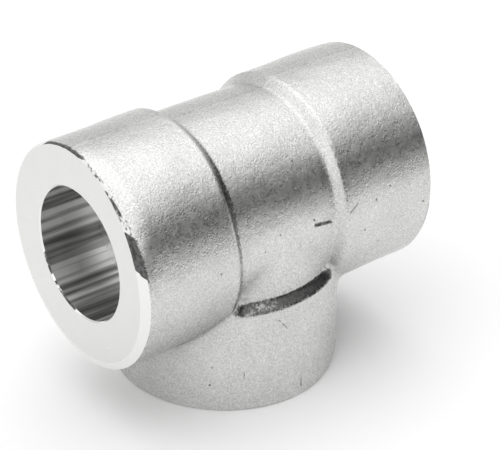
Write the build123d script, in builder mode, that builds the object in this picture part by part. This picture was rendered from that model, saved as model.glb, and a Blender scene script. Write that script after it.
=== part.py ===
"""Forged socket-weld tee, DN 20, class 6000.

One closed-die forging in stainless steel, with a thick band round each of its three pipe sockets
and a slightly slimmer neck between the bands. The run lies along X and the branch points down, so
the tee stands on the end face of its branch. The origin is the centre of that face, and the three
axes meet above it on Z, at the height centre_to_end.

The outside is made as one quarter and mirrored twice, because the tee is the same front and back,
left and right. The sockets and the passages behind them are then bored into the whole forging.
"""

import os

from build123d import *

# Driving dimensions of the forging, in millimetres
centre_to_end = 35.0  # from where the axes meet to each end face
band_radius = 23.0  # outside of the band round each socket
band_start = 13.0  # from where the axes meet to the full radius of a band
step_height = 1.8  # how far a band stands proud of the neck
step_length = 1.9  # length along the axis of the slope from the neck up to a band
crest_round = 0.6  # round at the crest of each slope
crotch_radius = 2.6  # hollow round between a run band and the branch band
neck_crease_radius = 8.0  # softer hollow round where the necks of the run and the branch meet

# Driving dimensions of the machining
bevel_width = 1.4  # bevel round each end face, measured across the face
bevel_depth = 0.55  # the same bevel, measured along the axis
socket_radius = 13.65  # slides over a 26.7 mm pipe
socket_depth = 13.5  # from an end face to the shoulder that stops the pipe
flow_radius = 7.8  # drilled passage behind the shoulders
mouth_chamfer = 0.35  # edge broken at the mouth of each socket

# Sizes and places that follow
neck_radius = band_radius - step_height
step_slope = step_length / step_height
bevel_slope = bevel_depth / bevel_width
overrun = crotch_radius  # how far the slopes are drawn past the bands and into the neck
crotch_reach = (band_radius**2 - (band_start / 2) ** 2) ** 0.5  # how far forward its round is made
facing_stock = bevel_width  # what the lathe takes off each end of the forging
forged_end = centre_to_end + facing_stock

centre = (0, 0, centre_to_end)
run_axis = Axis(centre, (1, 0, 0))
branch_axis = Axis(centre, (0, 0, 1))

# Half sections of the three arms. On each plane an arm reaches from the centre to negative x, and
# y is the distance from its axis
left_section = Plane(centre, x_dir=(1, 0, 0), z_dir=(0, -1, 0))
right_section = Plane(centre, x_dir=(-1, 0, 0), z_dir=(0, 1, 0))
branch_section = Plane(centre, x_dir=(0, 0, 1), z_dir=(0, -1, 0))

# One quarter of the tee holds the front half of the left arm and a quarter of the branch
quarter_arms = ((left_section, run_axis, 180), (branch_section, branch_axis, 90))


def crossing_bars(radius):
    """One quarter of a plain tee of round bars."""
    with BuildPart() as bars:
        for section, axis, arc in quarter_arms:
            with BuildSketch(section):
                with BuildLine():
                    Polyline((0, 0), (-forged_end, 0), (-forged_end, radius), (0, radius), close=True)
                make_face()
            revolve(axis=axis, revolution_arc=arc)
    return bars.part


# The neck, with the soft round where its bars meet
with BuildPart() as neck_form:
    add(crossing_bars(neck_radius))
    fillet(neck_form.edges().filter_by(GeomType.ELLIPSE), neck_crease_radius)

# The form that the bands lie in. Its crotch ends at the slopes, and further forward the bars run
# into each other with no corner, so the round stops half way and the whole bars are added again
with BuildPart() as outer_form:
    add(crossing_bars(band_radius))
    split(bisect_by=Plane.XZ.offset(crotch_reach), keep=Keep.BOTTOM)
    fillet(outer_form.edges().filter_by(GeomType.ELLIPSE), crotch_radius)
    add(crossing_bars(band_radius))

# The bands with their slopes, joined to the neck and trimmed to the outer form. The slopes run on
# past the bands, so that they also end the hollow round of the crotch
with BuildPart() as quarter:
    for section, axis, arc in quarter_arms:
        with BuildSketch(section):
            with BuildLine():
                Polyline(
                    (-forged_end, 0),
                    (-forged_end, band_radius + overrun),
                    (-band_start - overrun * step_slope, band_radius + overrun),
                    (-band_start + step_length + overrun * step_slope, neck_radius - overrun),
                    (-band_start + step_length + overrun * step_slope, 0),
                    close=True,
                )
            make_face()
        revolve(axis=axis, revolution_arc=arc)
    add(neck_form.part)
    add(outer_form.part, mode=Mode.INTERSECT)
    slopes = quarter.faces().filter_by(GeomType.CONE)
    crests = slopes.edges().filter_by(GeomType.CIRCLE).group_by(SortBy.RADIUS)[-1]
    fillet(crests, crest_round)

# The whole forging, then the machining of its three ends
left_end = Plane((-centre_to_end, 0, centre_to_end), z_dir=(-1, 0, 0))
right_end = Plane((centre_to_end, 0, centre_to_end), z_dir=(1, 0, 0))
branch_end = Plane((0, 0, 0), z_dir=(0, 0, -1))

with BuildPart() as forged_tee:
    add(quarter.part)
    mirror(about=Plane.XZ)
    mirror(about=Plane.YZ)

    # Each end is faced and bevelled in one turned cut
    turned_radius = band_radius + facing_stock
    turned_bevel = bevel_slope * (turned_radius - band_radius + bevel_width)
    for section, axis in (
        (left_section, run_axis),
        (right_section, run_axis),
        (branch_section, branch_axis),
    ):
        with BuildSketch(section):
            with BuildLine():
                Polyline(
                    (-centre_to_end, 0),
                    (-centre_to_end, band_radius - bevel_width),
                    (-centre_to_end + turned_bevel, turned_radius),
                    (-forged_end, turned_radius),
                    (-forged_end, 0),
                    close=True,
                )
            make_face()
        revolve(axis=axis, mode=Mode.SUBTRACT)

    # The sockets, each with its passage drilled on to the centre
    with Locations(left_end, right_end, branch_end):
        CounterBoreHole(
            radius=flow_radius,
            counter_bore_radius=socket_radius,
            counter_bore_depth=socket_depth,
            depth=centre_to_end,
        )
    end_faces = forged_tee.faces().filter_by(GeomType.PLANE).sort_by_distance(centre)[-3:]
    mouths = [edge for face in end_faces for edge in face.inner_wires().edges()]
    chamfer(mouths, mouth_chamfer)

forged_tee.part.label = "forged_tee"

os.makedirs("parts", exist_ok=True)
export_step(forged_tee.part, "parts/forged_tee.step")
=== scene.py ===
"""Forged socket-weld tee in stainless steel, as a picture piece, with a plain studio round it.

The tee is one forging. Its shot-blasted skin is uneven and carries the marks of the dies and of
handling, and its three ends are turned: a bevel, a flat face and a socket with a passage behind it.
"""

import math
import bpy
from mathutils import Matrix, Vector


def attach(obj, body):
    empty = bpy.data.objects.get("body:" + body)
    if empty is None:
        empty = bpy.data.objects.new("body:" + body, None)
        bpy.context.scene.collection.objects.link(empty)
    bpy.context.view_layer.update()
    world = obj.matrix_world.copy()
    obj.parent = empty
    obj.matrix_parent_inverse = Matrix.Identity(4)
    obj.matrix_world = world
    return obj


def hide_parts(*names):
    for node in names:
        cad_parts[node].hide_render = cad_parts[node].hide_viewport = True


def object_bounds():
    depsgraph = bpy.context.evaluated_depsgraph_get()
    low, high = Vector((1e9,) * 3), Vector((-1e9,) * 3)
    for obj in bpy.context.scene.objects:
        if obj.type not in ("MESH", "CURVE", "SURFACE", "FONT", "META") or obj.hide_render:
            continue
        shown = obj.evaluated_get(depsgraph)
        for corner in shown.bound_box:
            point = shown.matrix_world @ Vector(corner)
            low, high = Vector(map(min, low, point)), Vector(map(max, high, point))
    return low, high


bl_info = {
    "name": "Forged Tee",
    "version": (1, 0, 0),
    "blender": (4, 5, 0),
    "location": "View3D > Sidebar > Forged Tee",
    "description": "Makes a forged pipe tee with turned sockets, and a plain studio to show it in",
    "category": "Object",
}

import bmesh
import bpy
import numpy as np
from bpy.props import FloatProperty, FloatVectorProperty, IntProperty, PointerProperty
from mathutils import Matrix, Vector

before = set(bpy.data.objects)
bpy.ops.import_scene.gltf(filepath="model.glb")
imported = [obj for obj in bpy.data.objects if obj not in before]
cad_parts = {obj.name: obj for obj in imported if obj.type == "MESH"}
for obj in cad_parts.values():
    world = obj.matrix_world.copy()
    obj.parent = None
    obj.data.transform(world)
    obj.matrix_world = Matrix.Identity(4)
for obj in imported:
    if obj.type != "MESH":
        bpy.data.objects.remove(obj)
CAD_LOW, CAD_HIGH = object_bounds()
NODE = "forged_tee"

MM = 0.001
ARMS = ("left", "right", "branch")
SKIN, BEVEL, FACE, BORE, PASSAGE = range(5)

# The rows of mesh cells along an arm. The slope of the step lies in finer rows
STEP_ROWS_FROM = 10.3 * MM
STEP_ROWS_TO = 14.9 * MM
STEP_CELL = 0.7  # length of a cell there, as a share of the others
LEAST_NECK = 1.1 * MM  # least length of the rows before the step's
LEAST_STEP = 1.4 * MM  # least length of the step's rows
ROWS_SOFT = 0.3 * MM  # over how much those lengths change from one rule to the other
SKIN_REACH = 4 * MM  # the skin lies no further than this from a band's radius


class TeeSizes(bpy.types.PropertyGroup):
    """Sizes of the forging and of its turned ends"""

    centre_to_end: FloatProperty(
        name="Centre to End",
        description="From where the three axes meet to each end face",
        default=CAD_HIGH.x,
        unit="LENGTH",
    )
    band_radius: FloatProperty(
        name="Band Radius",
        description="Outside of the band round each socket",
        default=CAD_HIGH.y,
        unit="LENGTH",
    )
    band_start: FloatProperty(
        name="Band Start",
        description="From where the axes meet to the full radius of a band",
        default=13.0 * MM,
        unit="LENGTH",
    )
    step_height: FloatProperty(
        name="Step Height",
        description="How far a band stands proud of the neck",
        default=1.8 * MM,
        unit="LENGTH",
    )
    step_length: FloatProperty(
        name="Step Length",
        description="Length along the axis of the slope from the neck up to a band",
        default=1.9 * MM,
        unit="LENGTH",
    )
    crest_round: FloatProperty(
        name="Crest Round",
        description="Round where a slope meets its band",
        default=0.75 * MM,
        unit="LENGTH",
    )
    foot_round: FloatProperty(
        name="Foot Round",
        description="Hollow round where a slope meets the neck",
        default=0.7 * MM,
        unit="LENGTH",
    )
    corner_round: FloatProperty(
        name="Corner Round",
        description="Hollow round where the slopes of two bands meet",
        default=2.2 * MM,
        unit="LENGTH",
    )
    crotch_radius: FloatProperty(
        name="Crotch Radius",
        description="Hollow round between a run band and the branch band",
        default=2.6 * MM,
        unit="LENGTH",
    )
    neck_crease: FloatProperty(
        name="Neck Crease",
        description="Hollow round where the necks of the run and the branch meet",
        default=8.0 * MM,
        unit="LENGTH",
    )
    bevel_width: FloatProperty(
        name="Bevel Width",
        description="Bevel round each end face, measured across the face where it is narrowest",
        default=0.75 * MM,
        unit="LENGTH",
    )
    bevel_depth: FloatProperty(
        name="Bevel Depth",
        description="The same bevel, measured along the axis",
        default=0.12 * MM,
        unit="LENGTH",
    )
    socket_radius: FloatProperty(
        name="Socket Radius",
        description="Bore that slides over the pipe",
        default=13.65 * MM,
        unit="LENGTH",
    )
    socket_depth: FloatProperty(
        name="Socket Depth",
        description="From an end face to the shoulder that stops the pipe",
        default=13.5 * MM,
        unit="LENGTH",
    )
    flow_radius: FloatProperty(
        name="Passage Radius",
        description="Drilled passage behind the shoulders",
        default=7.8 * MM,
        unit="LENGTH",
    )
    mouth_chamfer: FloatProperty(
        name="Mouth Chamfer",
        description="Edge broken at the mouth of each socket",
        default=0.28 * MM,
        unit="LENGTH",
    )
    cells_round: IntProperty(
        name="Cells Round",
        description="Number of mesh cells round an arm, a multiple of four",
        default=296,
        min=32,
    )
    cell_length: FloatProperty(
        name="Cell Length",
        description="Length of a mesh cell along an arm",
        default=0.5 * MM,
        unit="LENGTH",
    )


class TeeFinish(bpy.types.PropertyGroup):
    """Colours and unevenness of the metal"""

    skin_colour: FloatVectorProperty(
        name="Skin Colour",
        description="Shot-blasted stainless steel",
        default=(0.66, 0.66, 0.65),
        subtype="COLOR",
        size=3,
    )
    turned_colour: FloatVectorProperty(
        name="Turned Colour",
        description="Stainless steel fresh from the lathe",
        default=(0.70, 0.70, 0.69),
        subtype="COLOR",
        size=3,
    )
    # The tone of soil, and also of painted shade and painted dark reflections
    soiled_or_shaded_tone: FloatProperty(
        name="Soiled Tone",
        description="Share of its light that the metal keeps where scale or soil is left on it",
        default=0.27,
        subtype="FACTOR",
    )
    unevenness: FloatProperty(
        name="Unevenness",
        description="How far the skin wanders from the die's form",
        default=0.035 * MM,
        unit="LENGTH",
    )
    grain_depth: FloatProperty(
        name="Grain Depth",
        description="Depth of the coarse grain that the shot leaves",
        default=0.014 * MM,
        unit="LENGTH",
    )
    pit_density: FloatProperty(
        name="Pits",
        description="Small pits in the skin, to a square metre",
        default=9000.0,
    )
    pit_depth: FloatProperty(
        name="Pit Depth",
        description="Depth of a small pit",
        default=0.03 * MM,
        unit="LENGTH",
    )
    seed: IntProperty(
        name="Seed",
        description="Start of every random draw",
        default=7,
    )


# The forging's form, as a distance from its surface. x runs along the run, z up the branch's
# axis, and the three axes meet at the origin


def rounded_union(a, b, cosine, radius):
    """Distance from two forms joined, with a hollow round of that radius along their corner.

    cosine is that of the angle between the directions in which their surfaces face."""
    sine = np.sqrt(np.maximum(1.0 - cosine * cosine, 1e-9))
    from_a = a - radius
    from_b = b - radius
    squared = from_a**2 + from_b**2 - 2.0 * cosine * from_a * from_b
    ball = radius - np.sqrt(np.maximum(squared, 0.0)) / sine
    in_corner = (from_a < cosine * from_b) & (from_b < cosine * from_a)
    return np.where(in_corner, ball, np.minimum(a, b))


def rounded_overlap(a, b, cosine, radius):
    """Distance from what two forms share, with a round of that radius along its edge."""
    return -rounded_union(-a, -b, cosine, radius)


def bump_at(angle, middle, width):
    """A smooth hump round an angle, in degrees."""
    away = (angle - middle + 180.0) % 360.0 - 180.0
    return np.exp(-((away / width) ** 2))


def between(value, first, last, soft):
    """One between two values and nought outside them, with soft ends."""
    return np.clip((value - first) / soft + 0.5, 0, 1) * np.clip((last - value) / soft + 0.5, 0, 1)


def run_band_edge(x, y, z, sizes):
    """Where the bands of the run begin. The dies have worn, so the edges wander a little."""
    angle = np.degrees(np.arctan2(-y, -z))
    left = 0.6 * bump_at(angle, 180, 28) + 1.15 * bump_at(angle, 115, 34)
    right = 0.25 * bump_at(angle, 150, 30) - 0.2 * bump_at(angle, 200, 40)
    return sizes.band_start + MM * np.where(x < 0, left, right)


def branch_band_edge(x, y, sizes):
    """Where the band of the branch begins."""
    angle = np.degrees(np.arctan2(-y, -x))
    return sizes.band_start + MM * 0.2 + MM * 0.15 * bump_at(angle, 60, 20)


def forging_distance(points, sizes):
    """Distance of points from the forged form, below zero inside it."""
    x, y, z = points[..., 0], points[..., 1], points[..., 2]
    across_run = np.maximum(np.hypot(y, z), 1e-9)
    across_branch = np.maximum(np.hypot(x, y), 1e-9)
    facing = y * y / (across_run * across_branch)
    band = sizes.band_radius
    neck = band - sizes.step_height
    above = np.where(z > 0, 1.0, 0.0)
    outer = rounded_union(
        across_run - band, across_branch - band + above, facing, sizes.crotch_radius
    )
    inner = rounded_union(
        across_run - neck, across_branch - neck + above, facing, sizes.neck_crease
    )
    slope = math.hypot(sizes.step_height, sizes.step_length)
    along = sizes.step_height / slope
    outward = sizes.step_length / slope
    run_edge = run_band_edge(x, y, z, sizes)
    branch_edge = branch_band_edge(x, y, sizes)
    run_collar = outward * (across_run - band) - along * (np.abs(x) - run_edge)
    branch_collar = outward * (across_branch - band) - along * (-z - branch_edge)
    facing_collars = outward**2 * facing - along * outward * (
        np.abs(x) / across_branch - z / across_run
    )
    collars = rounded_union(run_collar, branch_collar, facing_collars, sizes.corner_round)
    body = rounded_union(inner, collars, outward, sizes.foot_round)
    return rounded_overlap(outer, body, outward, sizes.crest_round)


class Wander:
    """A smooth random field with a chosen size of wave, the same every time."""

    def __init__(self, wave, seed, waves=28):
        draw = np.random.default_rng(seed)
        direction = draw.normal(size=(waves, 3))
        direction /= np.linalg.norm(direction, axis=1)[:, None]
        length = wave * draw.uniform(0.7, 1.6, size=waves)
        self.turn = direction * (2.0 * math.pi / length)[:, None]
        self.start = draw.uniform(0.0, 2.0 * math.pi, size=waves)
        self.scale = math.sqrt(2.0 / waves)

    def __call__(self, points):
        total = np.zeros(points.shape[:-1])
        for turn, start in zip(self.turn, self.start):
            total += np.cos(points @ turn + start)
        return total * self.scale


# Where the skin is darkened, part of it with painted shade, in metres from the centre or degrees
# round the run
LEDGE_FROM, LEDGE_TO = -12.4 * MM, 12.0 * MM
LEDGE_BACK = 12 * MM  # the ledge's soil is no nearer to the run's axis than this
LEDGE_PALE, LEDGE_PALE_WIDTH = -7.0 * MM, 3.4 * MM
SLOPE_SHADE_MIDDLE = 122
SLOPE_SHADE_LOW = 10.4 * MM  # the slope's painted shade ends this far below the run's axis
CREST_DARK_MIDDLE = 120


def skin_soil_and_shade(points, sizes):
    """How much the skin is darkened, from nought to one: painted shade on the left band's slope,
    and a darker ledge, crest and parting line.
    """
    x, y, z = points[..., 0], points[..., 1], points[..., 2]
    slope = sizes.step_length

    # The ledge over the branch's band is darker, and paler towards its left end
    edge = branch_band_edge(x, y, sizes)
    ledge = between(-z, edge - slope - 0.1 * MM, edge - 0.1 * MM, 0.4 * MM)
    ledge *= between(x, LEDGE_FROM, LEDGE_TO, 1.2 * MM) * (np.abs(y) > LEDGE_BACK)
    ledge *= 1.0 - 0.42 * np.exp(-(((x - LEDGE_PALE) / LEDGE_PALE_WIDTH) ** 2))

    # Painted shade on the left band's slope, and a darker line along the right one's crest
    angle = np.degrees(np.arctan2(-y, -z))
    edge = run_band_edge(x, y, z, sizes)
    reach = slope + (0.2 + 0.4 * bump_at(angle, SLOPE_SHADE_MIDDLE, 18)) * MM
    foot = between(-x, edge - reach, edge - 0.4 * MM, 0.4 * MM)
    foot *= (0.22 + 0.62 * bump_at(angle, SLOPE_SHADE_MIDDLE, 34)) * (-z < SLOPE_SHADE_LOW)
    crest = between(x, edge - 0.1 * MM, edge + 0.3 * MM, 0.25 * MM)
    crest *= bump_at(angle, CREST_DARK_MIDDLE, 26)
    foot = np.maximum(foot, 0.55 * crest)

    # The parting line is a little darker than the skin beside it
    seam = 0.36 * np.exp(-(((y - PARTING_PLANE) / (0.4 * MM)) ** 2))
    return np.maximum(np.maximum(ledge, foot), seam)


def arm_axes(arm):
    """The directions out along an arm, and across it at angle 0 and at angle 90, to the front."""
    out, across = {
        "left": ((-1, 0, 0), (0, 0, -1)),
        "right": ((1, 0, 0), (0, 0, -1)),
        "branch": ((0, 0, -1), (-1, 0, 0)),
    }[arm]
    return np.array(out, float), np.array(across, float), np.array((0.0, -1.0, 0.0))


def on_arm(arm, along, radius, angle):
    """Points at a distance along an arm, a radius from its axis and an angle round it."""
    out, across, front = arm_axes(arm)
    along, radius, angle = np.broadcast_arrays(along, radius, angle)
    turned = np.cos(angle)[..., None] * across + np.sin(angle)[..., None] * front
    return along[..., None] * out + radius[..., None] * turned


def on_mitre(radius, angle):
    """Points where the left arm begins: between it and the branch, or over the centre."""
    cosine, sine = np.cos(angle), np.sin(angle)
    return np.stack((-radius * np.maximum(cosine, 0), -radius * sine, -radius * cosine), axis=-1)


def solve_radius(place, low, high, sizes):
    """The radius at which each line from an axis leaves the forged form."""
    for _ in range(24):
        middle = 0.5 * (low + high)
        inside = forging_distance(place(middle), sizes) < 0
        low = np.where(inside, middle, low)
        high = np.where(inside, high, middle)
    return 0.5 * (low + high)


# How far the forging sits off the lathe's axis at each end, across the axis at angles 0 and 90, in
# millimetres
OFF_CENTRE = {"left": (0.25, 0.45), "right": (-0.2, -0.3), "branch": (0.25, 0.2)}
# Where each bevel is wide: the middle and the width of the place, in degrees round the arm, and
# how much wider it is there, in millimetres
WIDE_BEVEL = {"left": (112, 55, 2.2), "right": (60, 75, 1.0), "branch": (200, 80, 0.7)}
# Where the forging falls away towards each end: the middle and the width of the place, in degrees
# round the arm, and how far it falls, in millimetres
FALL = {"left": (138, 33, 1.65), "right": (250, 30, 0.8), "branch": (140, 30, 0.6)}
FALL_LENGTH = 3.5 * MM
# Painted dark reflection on each bevel: from and to, in degrees round the arm, and how much of it
PAINTED_DARK_BEVEL = {
    "left": ((104, 126, 1.0), (127, 150, 0.5), (155, 173, 0.45), (173, 206, 0.95)),
    "right": ((68, 88, 0.47), (216, 236, 0.45)),
    "branch": ((124, 146, 0.47), (250, 268, 0.42)),
}
# Painted bright reflections along each bore: degrees round it, half their width in degrees, and how
# bright
BORE_PAINTED_STREAKS = (
    (308.0, 1.5, 1.0),
    (313.8, 1.9, 0.9),
    (338.5, 2.2, 0.5),
    (330.5, 1.6, 0.35),
    (322.0, 1.4, 0.3),
    (281.5, 2.0, 0.25),
    (270.5, 3.2, 0.5),
    (259.5, 2.6, 0.5),
    (236.0, 3.0, 0.4),
    (205.0, 2.0, 0.6),
    (160.0, 3.0, 0.5),
    (118.0, 2.0, 0.8),
    (95.0, 4.0, 0.4),
    (60.0, 2.5, 0.6),
    (20.0, 3.0, 0.5),
)
PARTING_PLANE = 1.7 * MM
PARTING_HEIGHT = 0.075 * MM
STREAK_LENGTH = 300 * MM  # how slowly the painted streaks change along a bore
# Over how much the shift off the lathe's axis sets in, from this far along each arm
OFF_CENTRE_FROM, OFF_CENTRE_OVER = 14 * MM, 14 * MM
# Where the broken edge at each mouth is worn and dark, in degrees round it, and how much of it
WORN_MOUTH = (292, 352, 0.5)
# A darkened ring of the mesh, with painted dark reflection or wear, has a clean one this far beside
# it, so that the darkening ends at the edge
CLEAN_BESIDE = 0.1 * MM


class Forging:
    """The uneven skin of the forging."""

    def __init__(self, sizes, finish):
        self.sizes = sizes
        self.depth = finish.unevenness
        self.long_wander = Wander(14 * MM, finish.seed)
        self.short_wander = Wander(4.5 * MM, finish.seed + 1)

    def lift(self, points):
        """How far the skin stands off the die's form."""
        rough = 0.8 * self.long_wander(points) + 0.3 * self.short_wander(points)
        x, y, z = points[..., 0], points[..., 1], points[..., 2]
        seam = np.exp(-(((y - PARTING_PLANE) / (0.42 * MM)) ** 2))
        seam *= 0.75 + 0.5 * np.sin(x * 410.0 + z * 300.0 + 1.0)
        return self.depth * rough + PARTING_HEIGHT * seam

    def radius(self, arm, along, angle, low, high):
        """Radius of the skin on an arm."""
        form = solve_radius(lambda r: on_arm(arm, along, r, angle), low, high, self.sizes)
        at_end = np.clip((along - OFF_CENTRE_FROM) / OFF_CENTRE_OVER, 0, 1)
        at_end = at_end * at_end * (3 - 2 * at_end)
        off = OFF_CENTRE[arm]
        shift = MM * at_end * (off[0] * np.cos(angle) + off[1] * np.sin(angle))
        middle, width, fall = FALL[arm]
        near_end = np.clip((along - self.sizes.centre_to_end + FALL_LENGTH) / FALL_LENGTH, 0, 1)
        shift -= MM * fall * bump_at(np.degrees(angle), middle, width) * near_end**2
        return form + shift + self.lift(on_arm(arm, along, form, angle))

    def mitre(self, angle):
        """Radius of the skin where the left arm begins."""
        low = np.full_like(angle, self.sizes.band_radius - SKIN_REACH)
        high = np.full_like(angle, self.sizes.band_radius + SKIN_REACH)
        form = solve_radius(lambda r: on_mitre(r, angle), low, high, self.sizes)
        return form + self.lift(on_mitre(form, angle))


def soft_maximum(a, b, width):
    """The larger of two values, with a soft change from one to the other."""
    return 0.5 * (a + b + np.sqrt((a - b) ** 2 + width**2))


def arm_rows(arm, forging, angle, mitre):
    """Rows of points from where an arm begins, out over its skin, and in through its socket.

    Returns the points, the zone of the faces after each row, the rows with a sharp edge, and for
    each row how much of the skin's grain, of soil and painted shade, and of the bore's painted
    streaks it takes."""
    sizes = forging.sizes
    end = sizes.centre_to_end
    band = sizes.band_radius
    cosine = np.abs(np.cos(angle)) if arm == "branch" else np.maximum(np.cos(angle), 0)
    start = mitre * cosine
    neck_end = soft_maximum(STEP_ROWS_FROM, start + LEAST_NECK, ROWS_SOFT)
    step_end = soft_maximum(STEP_ROWS_TO, neck_end + LEAST_STEP, ROWS_SOFT)

    # The bevel leaves more or less of the face
    middle, width, wider = WIDE_BEVEL[arm]
    edge = band - sizes.bevel_width - MM * wider * bump_at(np.degrees(angle), middle, width)
    slope = sizes.bevel_depth / sizes.bevel_width

    def skin_radius(along):
        reach = np.where(cosine > 1e-6, along / np.maximum(cosine, 1e-6), 1.0)
        high = np.minimum(band + SKIN_REACH, reach)
        return forging.radius(arm, along, angle, np.full_like(along, band - SKIN_REACH), high)

    rim = np.full_like(angle, end - sizes.bevel_depth)
    for _ in range(5):
        rim = end - np.maximum(skin_radius(rim) - edge, 0.12 * MM) * slope

    cell = sizes.cell_length
    parts = (
        (start, neck_end, round(STEP_ROWS_FROM / cell)),
        (neck_end, step_end, round((STEP_ROWS_TO - STEP_ROWS_FROM) / (STEP_CELL * cell))),
        (step_end, rim, round((end - STEP_ROWS_TO) / cell)),
    )
    none = np.zeros_like(angle)
    points, zones, grain, soil, painted_streak = [], [], [], [], []
    for first, last, count in parts:
        for i in range(count):
            along = first + (last - first) * i / count
            if points:
                points.append(on_arm(arm, along, skin_radius(along), angle))
            elif arm == "branch":
                points.append(None)
            else:
                points.append(on_mitre(mitre, angle) * (-1 if arm == "right" else 1, 1, 1))
            zones.append(SKIN)
            grain.append(np.clip((rim - along) / (0.8 * MM), 0, 1))
            soil.append(none if points[-1] is None else skin_soil_and_shade(points[-1], sizes))
            painted_streak.append(none)
    sharp = []
    degrees = np.degrees(angle)
    streaks = none
    for middle, width, amount in BORE_PAINTED_STREAKS:
        streaks = np.maximum(streaks, amount * bump_at(degrees, middle, width))

    def ring(along, radius, zone, is_sharp=False, soil_and_shade=none):
        if is_sharp:
            sharp.append(len(points))
        points.append(on_arm(arm, along, radius, angle))
        zones.append(zone)
        grain.append(none)
        soil.append(soil_and_shade)
        painted_streak.append(streaks)

    rim_radius = skin_radius(rim)
    for part in (0.0, 1 / 3, 2 / 3, 1.0):
        # Painted dark reflection on the bevel, carried in the soil and shade attribute
        dark = none
        for first, last, amount in PAINTED_DARK_BEVEL[arm]:
            turned = degrees + 5.0 * (0.5 - part)
            dark = np.maximum(dark, amount * between(turned, first, last, 2.0))
        zone = FACE if part == 1.0 else BEVEL
        along = rim + (end - rim) * part
        ring(along, rim_radius + (edge - rim_radius) * part, zone, part in (0.0, 1.0), dark)
    ring(end, edge - CLEAN_BESIDE, FACE)
    mouth = sizes.socket_radius + sizes.mouth_chamfer
    ring(end, 0.5 * (edge + mouth), FACE)
    ring(end, mouth + CLEAN_BESIDE, FACE)
    first, last, amount = WORN_MOUTH
    worn = amount * between(degrees, first, last, 3.0)
    ring(end, mouth, BEVEL, True, worn)
    ring(end - sizes.mouth_chamfer, sizes.socket_radius, BORE, True, worn)
    shoulder = end - sizes.socket_depth
    for part in (1 / 3, 2 / 3):
        depth = sizes.mouth_chamfer + part * (sizes.socket_depth - sizes.mouth_chamfer)
        ring(end - depth, sizes.socket_radius, BORE)
    ring(shoulder, sizes.socket_radius, FACE, True)
    ring(shoulder, 0.5 * (sizes.socket_radius + sizes.flow_radius), FACE)
    ring(shoulder, sizes.flow_radius, PASSAGE, True)
    inner_start = sizes.flow_radius * cosine
    for part in (1 / 3, 2 / 3):
        ring(shoulder + (inner_start - shoulder) * part, sizes.flow_radius, PASSAGE)
    ring(inner_start, sizes.flow_radius, PASSAGE, True)
    return points, zones, sharp, (grain, soil, painted_streak)


def tee_mesh(sizes, finish):
    """One closed mesh of the whole tee, with what its finish needs as attributes.

    Each arm is a tube of rings. The first and the last ring of the three arms are shared."""
    count = sizes.cells_round
    quarter = count // 4
    column = np.arange(count)
    angle = 2.0 * math.pi * column / count
    forging = Forging(sizes, finish)
    mitre = forging.mitre(angle)
    over = (column >= quarter) & (column <= 3 * quarter)
    facing_left = (column <= quarter) | (column >= 3 * quarter)
    mirrored = (count // 2 - column) % count

    vertices, faces, face_zones, radii, rounds = [], [], [], [], []
    measures = ([], [], [])
    sharp_rings = []
    index = {}
    total = 0
    for arm in ARMS:
        arm_mitre = mitre if arm != "branch" else np.where(facing_left, mitre, mitre[mirrored])
        points, zones, sharp, rows = arm_rows(arm, forging, angle, arm_mitre)
        last = len(points) - 1
        table = np.empty((last + 1, count), int)
        for row in range(last + 1):
            new = np.ones(count, bool)
            if row in (0, last):
                shared = 0 if row == 0 else -1
                if arm == "right":
                    new = ~over
                    table[row, over] = index["left"][shared][over]
                elif arm == "branch":
                    new[:] = False
                    table[row] = np.where(
                        facing_left, index["left"][shared], index["right"][shared][mirrored]
                    )
            amount = int(new.sum())
            if amount:
                table[row, new] = total + np.arange(amount)
                vertices.append(points[row][new])
                for found, of_rows in zip(measures, rows):
                    found.append(of_rows[row][new])
                along = points[row][new] @ arm_axes(arm)[0]
                across = points[row][new] - along[:, None] * arm_axes(arm)[0]
                radii.append(np.linalg.norm(across, axis=1))
                rounds.append(
                    np.stack((np.cos(angle)[new], np.sin(angle)[new], along / STREAK_LENGTH), -1)
                )
                total += amount
        index[arm] = table
        sharp_rings.extend(table[row] for row in sharp)
        a, b = table[:-1], table[1:]
        quads = np.stack((a, np.roll(a, -1, 1), np.roll(b, -1, 1), b), axis=-1)
        if arm != "left":
            quads = quads[..., ::-1]
        faces.append(quads.reshape(-1, 4))
        face_zones.append(np.repeat(zones[:-1], count))

    lift = np.array((0, 0, sizes.centre_to_end))
    mesh = bpy.data.meshes.new("forged_tee_skin")
    mesh.from_pydata((np.concatenate(vertices) + lift).tolist(), [], np.concatenate(faces).tolist())
    mesh.attributes.new("zone", "INT", "FACE").data.foreach_set(
        "value", np.concatenate(face_zones).astype(np.int32)
    )
    for name, values in zip(("grain", "soil_and_shade", "painted_streak", "from_axis"), (*measures, radii)):
        mesh.attributes.new(name, "FLOAT", "POINT").data.foreach_set(
            "value", np.concatenate(values).astype(np.float32)
        )
    mesh.attributes.new("round_arm", "FLOAT_VECTOR", "POINT").data.foreach_set(
        "vector", np.concatenate(rounds).astype(np.float32).ravel()
    )
    mesh.polygons.foreach_set("use_smooth", np.ones(len(mesh.polygons), bool))
    ring_of = np.full(total, -1)
    for number, ring in enumerate(sharp_rings):
        ring_of[ring] = number
    ends = np.empty(len(mesh.edges) * 2, np.int32)
    mesh.edges.foreach_get("vertices", ends)
    ends = ring_of[ends.reshape(-1, 2)]
    is_sharp = (ends[:, 0] == ends[:, 1]) & (ends[:, 0] >= 0)
    mesh.attributes.new("sharp_edge", "BOOLEAN", "EDGE").data.foreach_set("value", is_sharp)
    return mesh, forging


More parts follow.
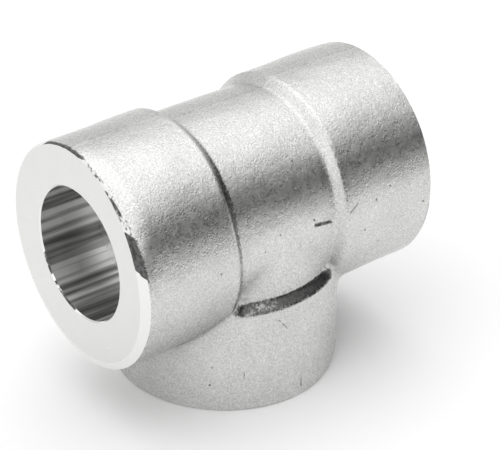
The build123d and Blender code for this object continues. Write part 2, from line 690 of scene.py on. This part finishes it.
# Marks of handling, each on an arm, at millimetres along it and degrees round it (0 is below the
# run or to the left of the branch, 90 is the front), with its radius and its depth in millimetres
PITS = (
    ("left", 18.04, 91.1, 0.42, 0.08),
    ("left", 19.21, 121.0, 0.34, 0.06),
    ("left", 23.02, 113.6, 0.34, 0.06),
    ("left", 2.40, 96.7, 0.36, 0.06),
    ("left", 6.10, 90.2, 0.30, 0.04),
    ("right", 4.62, 131.3, 0.30, 0.05),
    ("right", 6.05, 97.9, 0.40, 0.08),
    ("right", 17.51, 83.3, 0.40, 0.06),
    ("right", 20.45, 97.7, 0.38, 0.06),
    ("right", 22.15, 71.0, 0.38, 0.06),
    ("right", 24.28, 102.4, 0.36, 0.06),
    ("right", 33.04, 86.2, 0.40, 0.06),
    ("right", 16.20, 126.0, 0.34, 0.05),
    ("branch", 24.83, 46.5, 0.34, 0.05),
    ("branch", 29.02, 45.4, 0.34, 0.06),
)
# Straight nicks, from one such place to another on the same arm, with half their width and depth
NICKS = (
    ("right", 6.34, 94.4, 10.2, 93.1, 0.4, 0.2),
    ("branch", 31.38, 93.8, 32.84, 93.9, 0.24, 0.16),
    ("branch", 15.50, 80.3, 17.96, 84.9, 0.16, 0.04),
    ("right", 13.60, 96.5, 15.65, 100.0, 0.18, 0.05),
    ("branch", 26.00, 62.2, 27.60, 62.0, 0.14, 0.05),
)


# How far round a mark the mesh is made finer, the first time and the second
FINER_ROUND_MARKS = (0.75 * MM, 0.45 * MM)


def mark_lines(forging):
    """Each mark as a line between two points of the skin, with its half width and depth."""
    lines = []
    for mark in PITS:
        lines.append((mark[0], mark[1], mark[2], mark[1], mark[2], mark[3], mark[4]))
    lines.extend(NICKS)
    found = []
    lift = np.array((0, 0, forging.sizes.centre_to_end))
    for arm, s0, a0, s1, a1, half, depth in lines:
        along = np.array((s0, s1)) * MM
        angle = np.radians((a0, a1))
        band = forging.sizes.band_radius
        low, high = np.full(2, band - SKIN_REACH), np.full(2, band + SKIN_REACH)
        radius = forging.radius(arm, along, angle, low, high)
        ends = on_arm(arm, along, radius, angle) + lift
        found.append((ends[0], ends[1], half * MM, depth * MM))
    return found


def distance_to_line(points, first, last):
    """Distance of points from a straight line between two points."""
    reach = last - first
    length = max(float(reach @ reach), 1e-12)
    part = np.clip((points - first) @ reach / length, 0, 1)
    return np.linalg.norm(points - first - part[:, None] * reach, axis=1)


def press_marks(mesh, forging):
    """Makes the mesh finer round each mark, and presses the marks into it."""
    lines = mark_lines(forging)
    bm = bmesh.new()
    bm.from_mesh(mesh)
    grain = bm.verts.layers.float["grain"]
    soil_and_shade = bm.verts.layers.float["soil_and_shade"]
    for margin in FINER_ROUND_MARKS:
        centres = np.array([f.calc_center_median() for f in bm.faces])
        near = np.zeros(len(centres), bool)
        for first, last, half, _ in lines:
            near |= distance_to_line(centres, first, last) < half + margin
        bm.faces.ensure_lookup_table()
        chosen = {e for i in np.flatnonzero(near) for e in bm.faces[int(i)].edges}
        bmesh.ops.subdivide_edges(
            bm, edges=sorted(chosen, key=lambda e: e.index), cuts=1, use_grid_fill=True
        )
        bm.edges.index_update()
    bm.normal_update()
    places = np.array([v.co for v in bm.verts])
    press = np.zeros(len(places))
    dark = np.zeros(len(places))
    for first, last, half, depth in lines:
        away = distance_to_line(places, first, last) / half
        part = np.clip(1.0 - away / 1.25, 0, 1)
        dent = part * part * (3 - 2 * part)
        burr = 0.07 * np.exp(-(((away - 1.5) / 0.45) ** 2))
        press += depth * (burr - dent)
        dark = np.maximum(dark, 0.9 * dent)
    bm.verts.ensure_lookup_table()
    for i in np.flatnonzero(np.abs(press) > 1e-7):
        vertex = bm.verts[int(i)]
        vertex.co += vertex.normal * float(press[i]) * min(1.0, 2 * vertex[grain])
        vertex[soil_and_shade] = max(vertex[soil_and_shade], float(dark[i]))
    bm.to_mesh(mesh)
    bm.free()


# Node building


def add_node(tree, kind, settings=None, **inputs):
    """A node with its settings and its inputs, which are values or other nodes' outputs."""
    node = tree.nodes.new(kind)
    for name, value in (settings or {}).items():
        setattr(node, name, value)
    for name, value in inputs.items():
        by_number = name[1:].isdigit()
        socket = node.inputs[int(name[1:]) if by_number else name.replace("_", " ")]
        if isinstance(value, bpy.types.NodeSocket):
            tree.links.new(value, socket)
        else:
            socket.default_value = value
    return node


def math_node(tree, operation, a, b=0.0):
    """The output of a Math node."""
    return add_node(tree, "ShaderNodeMath", {"operation": operation}, _0=a, _1=b).outputs[0]


def blasted_tree(materials):
    """Geometry Nodes that blast the skin: a coarse grain, scattered pits and each zone's metal."""
    tree = bpy.data.node_groups.new("blasted skin", "GeometryNodeTree")
    face = tree.interface
    face.new_socket("Geometry", in_out="INPUT", socket_type="NodeSocketGeometry")
    names = {}
    for name, kind in (
        ("Grain Depth", "Float"),
        ("Grain Size", "Float"),
        ("Pit Density", "Float"),
        ("Pit Radius", "Float"),
        ("Pit Depth", "Float"),
        ("Seed", "Int"),
    ):
        socket = face.new_socket(name, in_out="INPUT", socket_type="NodeSocket" + kind)
        names[name] = socket.identifier
    face.new_socket("Geometry", in_out="OUTPUT", socket_type="NodeSocketGeometry")
    given = tree.nodes.new("NodeGroupInput").outputs
    result = tree.nodes.new("NodeGroupOutput")

    def named(name, data_type="FLOAT"):
        settings = {"data_type": data_type}
        node = add_node(tree, "GeometryNodeInputNamedAttribute", settings, Name=name)
        return node.outputs["Attribute"]

    normal = tree.nodes.new("GeometryNodeInputNormal").outputs[0]
    place = tree.nodes.new("GeometryNodeInputPosition").outputs[0]
    grain = named("grain")

    # The coarse grain
    noise = add_node(
        tree,
        "ShaderNodeTexNoise",
        Vector=place,
        Scale=math_node(tree, "DIVIDE", 1.0, given["Grain Size"]),
        Detail=2.0,
        Roughness=0.6,
    )
    height = math_node(tree, "SUBTRACT", noise.outputs[0], 0.5)
    depth = math_node(tree, "MULTIPLY", given["Grain Depth"], 4.0)
    height = math_node(tree, "MULTIPLY", height, depth)

    # Scattered pits
    scatter = add_node(
        tree,
        "GeometryNodeDistributePointsOnFaces",
        {"distribute_method": "RANDOM"},
        Mesh=given["Geometry"],
        Density=given["Pit Density"],
        Seed=given["Seed"],
    )
    near = add_node(
        tree,
        "GeometryNodeProximity",
        {"target_element": "POINTS"},
        Geometry=scatter.outputs["Points"],
    )
    dent = add_node(
        tree,
        "ShaderNodeMapRange",
        {"interpolation_type": "SMOOTHSTEP"},
        Value=near.outputs["Distance"],
        From_Min=0.0,
        From_Max=given["Pit Radius"],
        To_Min=1.0,
        To_Max=0.0,
    ).outputs[0]
    height = math_node(
        tree, "SUBTRACT", height, math_node(tree, "MULTIPLY", dent, given["Pit Depth"])
    )
    height = math_node(tree, "MULTIPLY", height, grain)
    offset = add_node(tree, "ShaderNodeVectorMath", {"operation": "SCALE"}, _0=normal, Scale=height)
    moved = add_node(
        tree, "GeometryNodeSetPosition", Geometry=given["Geometry"], Offset=offset.outputs[0]
    )
    flow = add_node(tree, "GeometryNodeRealizeInstances", Geometry=moved.outputs[0]).outputs[0]
    zone = named("zone", "INT")
    for number, material in enumerate(materials):
        settings = {"data_type": "INT", "operation": "EQUAL"}
        chosen = add_node(tree, "FunctionNodeCompare", settings, _2=zone, _3=number)
        flow = add_node(
            tree,
            "GeometryNodeSetMaterial",
            Geometry=flow,
            Selection=chosen.outputs[0],
            Material=material,
        ).outputs[0]
    tree.links.new(flow, result.inputs[0])
    return tree, names


# Sizes of the skin's grain, and of the specks and scale in which soil and painted shade are laid
COARSE_GRAIN = 1.5 * MM  # in the mesh, as are the pits
PIT_RADIUS = 0.75 * MM
MIDDLE_GRAIN = 1.4 * MM
FINE_GRAIN = 0.36 * MM
BROAD_TONE = 9 * MM
GRAIN_BUMP = 0.1 * MM
SKIN_SPECK = 0.7 * MM
TURNED_SPECK = 2.0 * MM
SCALE_GRAIN = 0.8 * MM
# Painted shade in hollows: how far off a wall still shades them, from how much open view on they
# do, down to how little, and the share of its light that the metal keeps there
HOLLOW_REACH = 14 * MM
HOLLOW_OPEN, HOLLOW_CLOSED, HOLLOW_SHADE_TONE = 0.92, 0.35, 0.16
# The lathe's rings
RING_PITCH = 0.11 * MM
RING_HEIGHT = 0.001 * MM


def metal_material(name, colour):
    """A bare metal, with its shader and its object coordinates to build on."""
    material = bpy.data.materials.new(name)
    material.use_nodes = True
    tree = material.node_tree
    shader = tree.nodes["Principled BSDF"]
    shader.inputs["Base Color"].default_value = (*colour, 1.0)
    shader.inputs["Metallic"].default_value = 1.0
    place = tree.nodes.new("ShaderNodeTexCoord").outputs["Object"]
    return material, tree, shader, place


def noise_value(tree, place, size, detail=2.0, roughness=0.5):
    """Noise with a grain of a given size."""
    node = add_node(
        tree,
        "ShaderNodeTexNoise",
        Vector=place,
        Scale=1.0 / size,
        Detail=detail,
        Roughness=roughness,
    )
    return node.outputs[0]


def ranged(tree, value, low, high, to_low, to_high):
    """A value carried from one range to another."""
    node = add_node(
        tree,
        "ShaderNodeMapRange",
        Value=value,
        From_Min=low,
        From_Max=high,
        To_Min=to_low,
        To_Max=to_high,
    )
    return node.outputs[0]


def tinted(tree, colour, amount):
    """A colour made darker or lighter by an amount near one."""
    node = add_node(
        tree, "ShaderNodeVectorMath", {"operation": "SCALE"}, _0=tuple(colour), Scale=amount
    )
    return node.outputs[0]


def own_attribute(tree, name, output="Fac"):
    """An attribute of the mesh itself."""
    node = add_node(
        tree, "ShaderNodeAttribute", {"attribute_name": name, "attribute_type": "GEOMETRY"}
    )
    return node.outputs[output]


def soil_and_shade_tone(tree, speck, keeps, gain):
    """The share of its light that the metal keeps, where soil or painted shade darkens it in
    specks.

    keeps is that share where it is fully darkened. A higher gain gives the specks harder edges."""
    soil_and_shade = own_attribute(tree, "soil_and_shade")
    speck = ranged(tree, speck, 0.36, 0.64, 0.1, 0.9)
    over = math_node(tree, "SUBTRACT", soil_and_shade, speck)
    over = math_node(tree, "MULTIPLY", over, gain)
    over = math_node(tree, "ADD", over, math_node(tree, "MULTIPLY", soil_and_shade, 0.8))
    return ranged(tree, over, 0.0, 1.0, 1.0, keeps)


def skin_material(finish):
    """Shot-blasted skin: a fine grain, with softly changing tone and polish, soil and painted shade
    from the mesh, and painted shade in its hollows.
    """
    material, tree, shader, place = metal_material("blasted skin", finish.skin_colour)
    fine = noise_value(tree, place, FINE_GRAIN, 3.0, 0.7)
    middle = noise_value(tree, place, MIDDLE_GRAIN, 3.0, 0.6)
    broad = noise_value(tree, place, BROAD_TONE, 2.0, 0.5)
    tone = math_node(
        tree,
        "MULTIPLY",
        ranged(tree, fine, 0.34, 0.66, 0.78, 1.16),
        ranged(tree, broad, 0.35, 0.65, 0.96, 1.03),
    )
    speck = noise_value(tree, place, SKIN_SPECK, 2.0, 0.6)
    tone = math_node(tree, "MULTIPLY", tone, soil_and_shade_tone(tree, speck, finish.soiled_or_shaded_tone, 1.4))
    # Painted shade in hollows, from ambient occlusion, laid into the base colour
    hollow = add_node(
        tree,
        "ShaderNodeAmbientOcclusion",
        {"only_local": True, "samples": 6},
        Distance=HOLLOW_REACH,
    ).outputs["AO"]
    hollow = ranged(tree, hollow, HOLLOW_CLOSED, HOLLOW_OPEN, HOLLOW_SHADE_TONE, 1.0)
    tone = math_node(tree, "MULTIPLY", tone, hollow)
    tree.links.new(tinted(tree, finish.skin_colour, tone), shader.inputs["Base Color"])
    tree.links.new(ranged(tree, middle, 0.3, 0.7, 0.22, 0.32), shader.inputs["Roughness"])
    height = math_node(tree, "ADD", fine, math_node(tree, "MULTIPLY", middle, 0.7))
    bump = add_node(tree, "ShaderNodeBump", Strength=1.0, Distance=GRAIN_BUMP, Height=height)
    tree.links.new(bump.outputs[0], shader.inputs["Normal"])
    return material


def turned_material(name, finish, roughness, brightness):
    """Metal fresh from the lathe, with the tool's fine rings, darkened in patches by painted dark
    reflections on the bevels and by wear at the mouths.
    """
    material, tree, shader, place = metal_material(name, finish.turned_colour)
    radius = own_attribute(tree, "from_axis")
    broad = noise_value(tree, place, 5 * MM, 2.0, 0.5)
    speck = noise_value(tree, place, TURNED_SPECK, 2.0, 0.5)
    scale = noise_value(tree, place, SCALE_GRAIN, 3.0, 0.6)
    # Soil tone, used here for painted dark reflections on the bevels and wear at the mouths
    dark = finish.soiled_or_shaded_tone
    keeps = ranged(tree, scale, 0.35, 0.65, 0.2 * dark, 0.65 * dark)
    tone = math_node(tree, "MULTIPLY", brightness, soil_and_shade_tone(tree, speck, keeps, 4.0))
    tree.links.new(tinted(tree, finish.turned_colour, tone), shader.inputs["Base Color"])
    turns = math_node(tree, "SINE", math_node(tree, "MULTIPLY", radius, 2 * math.pi / RING_PITCH))
    polish = ranged(tree, broad, 0.3, 0.7, roughness - 0.04, roughness + 0.05)
    tree.links.new(polish, shader.inputs["Roughness"])
    bump = add_node(tree, "ShaderNodeBump", Strength=1.0, Distance=RING_HEIGHT, Height=turns)
    tree.links.new(bump.outputs[0], shader.inputs["Normal"])
    return material


def bored_material(finish):
    """The wall of a bore, with painted reflections: bright streaks along it and dark between them.
    """
    material, tree, shader, place = metal_material("bored wall", finish.turned_colour)
    # Read round the arm on a circle of radius one, so the grain's size is a share of that radius
    streaks = noise_value(tree, own_attribute(tree, "round_arm", "Vector"), 0.23, 3.0, 0.65)
    broad = noise_value(tree, place, 3 * MM, 3.0, 0.6)
    # Painted highlights and painted dark reflections, laid into the base colour
    bright = math_node(tree, "MULTIPLY", own_attribute(tree, "painted_streak"), 0.6)
    tone = ranged(tree, math_node(tree, "ADD", streaks, bright), 0.42, 0.86, 0.28, 2.2)
    tree.links.new(tinted(tree, finish.turned_colour, tone), shader.inputs["Base Color"])
    tree.links.new(ranged(tree, broad, 0.3, 0.7, 0.38, 0.5), shader.inputs["Roughness"])
    return material


class MESH_OT_forged_tee(bpy.types.Operator):
    """Make the forged tee, with its skin, its turned ends and its passages"""

    bl_idname = "mesh.forged_tee"
    bl_label = "Forged Tee"
    bl_options = {"REGISTER", "UNDO"}

    def execute(self, context):
        sizes = context.scene.tee_sizes
        finish = context.scene.tee_finish
        mesh, forging = tee_mesh(sizes, finish)
        press_marks(mesh, forging)
        start = bpy.data.objects.new("tee_blank", mesh)
        context.scene.collection.objects.link(start)

        skin = skin_material(finish)
        bevel = turned_material("turned bevel", finish, 0.2, 1.13)
        face = turned_material("turned face", finish, 0.3, 1.0)
        bored = bored_material(finish)
        tree, names = blasted_tree((skin, bevel, face, bored, bored))
        modifier = start.modifiers.new("Blasted Skin", "NODES")
        modifier.node_group = tree
        modifier[names["Grain Depth"]] = finish.grain_depth
        modifier[names["Grain Size"]] = COARSE_GRAIN
        modifier[names["Pit Density"]] = finish.pit_density
        modifier[names["Pit Radius"]] = PIT_RADIUS
        modifier[names["Pit Depth"]] = finish.pit_depth
        modifier[names["Seed"]] = finish.seed
        context.view_layer.update()
        made = bpy.data.meshes.new_from_object(
            start.evaluated_get(context.evaluated_depsgraph_get())
        )
        bpy.data.objects.remove(start)
        tee = bpy.data.objects.new("forged_tee_body", made)
        context.scene.collection.objects.link(tee)
        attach(tee, "root")
        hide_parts(NODE)
        return {"FINISHED"}


# The camera, in radii of a band from where the axes meet, and in degrees
VIEW_AZIMUTH = -37.588
VIEW_ELEVATION = 30.104
VIEW_DISTANCE = 18.560
VIEW_ASIDE = 0.2212
VIEW_RAISED = -0.2195
FOCAL_PIXELS = 2134.79
FRAME_PIXELS = 500

# The sky's levels, where 1 lights the floor to its own colour
SIDE_LEVEL = 0.75
LEFT_LEVEL = 1.4
DARK_LEVEL = 0.0
TOP_LEVEL = 1.18
# Its zones: the direction of the middle, and the cosines from it where a zone starts and is full
LEFT_ZONE = ((-0.85, -0.05, 0.45), 0.5, 0.85)
DARK_ZONE = ((0.57, -0.82, 0.15), 0.28, 0.62)
TOP_ZONE = ((0, 0, 1), 0.45, 0.75)

# The floor and the softbox, in metres and watts
FLOOR_HALF = 5.0
FLOOR_DROP = 0.02 * MM  # the floor lies this far under the tee, so that their faces don't fight
FLOOR_COLOUR = (0.95, 0.95, 0.95, 1)
SOFTBOX_PLACE = (0.1, 0.25, 1.9)
SOFTBOX_SIZE = (3.0, 2.4)
SOFTBOX_POWER = 11.0
SENSOR_WIDTH = 36.0


class SCENE_OT_tee_studio(bpy.types.Operator):
    """Make a plain studio: floor, soft light and camera"""

    bl_idname = "scene.tee_studio"
    bl_label = "Tee Studio"
    bl_options = {"REGISTER", "UNDO"}

    def execute(self, context):
        scene = context.scene
        self.make_floor(scene)
        self.make_light(scene)
        self.make_world(scene)
        self.make_camera(scene)
        scene.view_settings.view_transform = "Standard"
        return {"FINISHED"}

    def make_floor(self, scene):
        """The pale floor that the tee stands on."""
        half = FLOOR_HALF
        mesh = bpy.data.meshes.new("floor")
        corners = [(-half, -half, 0), (half, -half, 0), (half, half, 0), (-half, half, 0)]
        mesh.from_pydata(corners, [], [(0, 1, 2, 3)])
        floor = bpy.data.objects.new("floor", mesh)
        floor.location.z = -FLOOR_DROP
        scene.collection.objects.link(floor)
        material = bpy.data.materials.new("pale floor")
        material.use_nodes = True
        shader = material.node_tree.nodes["Principled BSDF"]
        shader.inputs["Base Color"].default_value = FLOOR_COLOUR
        shader.inputs["Roughness"].default_value = 0.9
        shader.inputs["Specular IOR Level"].default_value = 0.0
        mesh.materials.append(material)

    def make_light(self, scene):
        """A softbox overhead."""
        lamp = bpy.data.lights.new("softbox", "AREA")
        lamp.shape = "RECTANGLE"
        lamp.size, lamp.size_y = SOFTBOX_SIZE
        lamp.energy = SOFTBOX_POWER
        light = bpy.data.objects.new("softbox", lamp)
        light.location = SOFTBOX_PLACE
        light.visible_camera = False
        scene.collection.objects.link(light)

    def make_world(self, scene):
        """The studio's walls and ceiling, as a sky that the metal mirrors."""
        world = bpy.data.worlds.new("studio")
        world.use_nodes = True
        tree = world.node_tree
        background = tree.nodes["Background"]
        direction = tree.nodes.new("ShaderNodeTexCoord").outputs["Generated"]

        def zone(towards, start, full):
            """How far a direction lies in a zone of the sky, by its cosine from the middle."""
            cosine = add_node(
                tree,
                "ShaderNodeVectorMath",
                {"operation": "DOT_PRODUCT"},
                _0=direction,
                _1=tuple(Vector(towards).normalized()),
            ).outputs["Value"]
            return add_node(
                tree,
                "ShaderNodeMapRange",
                {"interpolation_type": "SMOOTHSTEP"},
                Value=cosine,
                From_Min=start,
                From_Max=full,
            ).outputs[0]

        def mixed(level, other, amount):
            """A level carried to another one by an amount from nought to one."""
            return add_node(
                tree, "ShaderNodeMix", {"data_type": "FLOAT"}, _0=amount, _2=level, _3=other
            ).outputs[0]

        # Softer at the sides, brighter to the left, dark to the right of the camera, and
        # brightest overhead
        level = mixed(SIDE_LEVEL, LEFT_LEVEL, zone(*LEFT_ZONE))
        level = mixed(level, DARK_LEVEL, zone(*DARK_ZONE))
        level = mixed(level, TOP_LEVEL, zone(*TOP_ZONE))
        tree.links.new(level, background.inputs["Strength"])
        background.inputs["Color"].default_value = (1, 1, 1, 1)
        scene.world = world

    def make_camera(self, scene):
        """The camera, with its place fitted to the tee's outline."""
        data = bpy.data.cameras.new("camera")
        data.sensor_fit = "HORIZONTAL"
        data.sensor_width = SENSOR_WIDTH
        data.lens = FOCAL_PIXELS * data.sensor_width / FRAME_PIXELS
        camera = bpy.data.objects.new("camera", data)
        azimuth, elevation = math.radians(VIEW_AZIMUTH), math.radians(VIEW_ELEVATION)
        back = Vector(
            (
                math.sin(azimuth) * math.cos(elevation),
                -math.cos(azimuth) * math.cos(elevation),
                math.sin(elevation),
            )
        )
        right = Vector((math.cos(azimuth), math.sin(azimuth), 0.0))
        up = back.cross(right)
        unit = scene.tee_sizes.band_radius
        centre = Vector((0, 0, scene.tee_sizes.centre_to_end))
        place = back * VIEW_DISTANCE + right * VIEW_ASIDE + up * VIEW_RAISED
        camera.matrix_world = Matrix.Translation(centre + place * unit) @ Matrix(
            (right, up, back)
        ).transposed().to_4x4()
        data.clip_start, data.clip_end = 0.01, 30.0
        scene.collection.objects.link(camera)
        scene.camera = camera


class VIEW3D_PT_forged_tee(bpy.types.Panel):
    """The tee's operators and sizes, in the sidebar"""

    bl_label = "Forged Tee"
    bl_idname = "VIEW3D_PT_forged_tee"
    bl_space_type = "VIEW_3D"
    bl_region_type = "UI"
    bl_category = "Forged Tee"

    def draw(self, context):
        layout = self.layout
        layout.operator(MESH_OT_forged_tee.bl_idname)
        layout.operator(SCENE_OT_tee_studio.bl_idname)
        for group in (context.scene.tee_sizes, context.scene.tee_finish):
            box = layout.box()
            for name in group.__annotations__:
                box.prop(group, name)


CLASSES = (TeeSizes, TeeFinish, MESH_OT_forged_tee, SCENE_OT_tee_studio, VIEW3D_PT_forged_tee)


def register():
    for cls in CLASSES:
        bpy.utils.register_class(cls)
    bpy.types.Scene.tee_sizes = PointerProperty(type=TeeSizes)
    bpy.types.Scene.tee_finish = PointerProperty(type=TeeFinish)


def unregister():
    del bpy.types.Scene.tee_finish
    del bpy.types.Scene.tee_sizes
    for cls in reversed(CLASSES):
        bpy.utils.unregister_class(cls)


def main():
    """Makes the tee and its studio."""
    register()
    bpy.ops.mesh.forged_tee()
    bpy.ops.scene.tee_studio()


if __name__ == "__main__":
    main()
